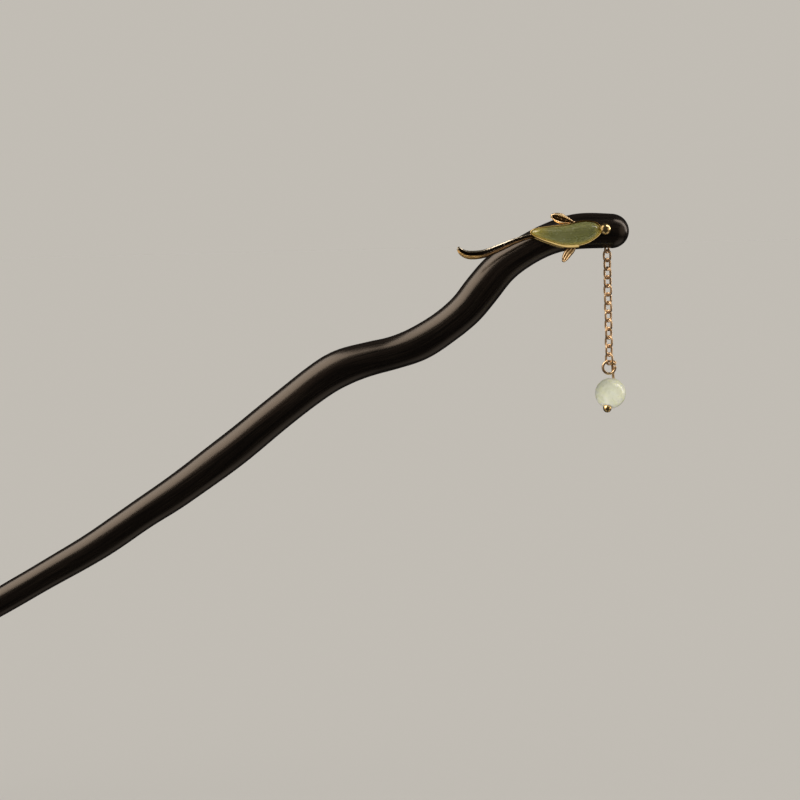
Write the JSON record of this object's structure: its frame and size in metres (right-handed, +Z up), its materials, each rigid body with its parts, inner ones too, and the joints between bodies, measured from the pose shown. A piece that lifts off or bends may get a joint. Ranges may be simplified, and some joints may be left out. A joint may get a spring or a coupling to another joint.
{
  "type": "hair stick",
  "caption": "Wavy dark wooden hair stick with a gold fish ornament set with a green stone on its head and a bead drop hanging from a fine chain.",
  "frame": {"origin": "middle of the shaft's cross-section about 76 mm from the tip, where the hair grips it", "axes": "+X from the tip to the head, +Z up as the stick is shown with its chain hanging plumb, -Y the front with the fish"},
  "size_m": [0.154, 0.0089, 0.0899],
  "materials": {
    "ebony": "polished dark heartwood with fine grain",
    "gold": "polished gold plate",
    "rose_gold": "polished warm gold plate",
    "green_jade": "polished translucent green",
    "white_jade": "polished cloudy white with a green tint"
  },
  "bodies": {
    "stick_body": {"stick": "ebony", "fish_setting": "gold", "fish_stone": "green_jade", "chain_eye": "rose_gold", "chain_link_01": "rose_gold", "chain_link_02": "rose_gold", "chain_link_03": "rose_gold", "chain_link_04": "rose_gold", "chain_link_05": "rose_gold", "chain_link_06": "rose_gold", "chain_link_07": "rose_gold", "chain_link_08": "rose_gold", "chain_link_09": "rose_gold", "chain_link_10": "rose_gold", "chain_link_11": "rose_gold", "chain_link_12": "rose_gold", "chain_link_13": "rose_gold"},
    "drop": {"drop_pin": "rose_gold"},
    "bead": {"drop_bead": "white_jade"}
  },
  "joints": [
    {"name": "drop_swing", "type": "hinge", "parent": "stick_body", "child": "drop", "pos_m": [0.08356, 0, 0.02158], "axis": [0, 1, 0], "range_deg": [-20, 60]},
    {"name": "bead_spin", "type": "hinge", "parent": "drop", "child": "bead", "pos_m": [0.0837, -0.00042, 0.01658], "axis": [0.2364, 0.4067, 0.8824], "continuous": true}
  ]
}
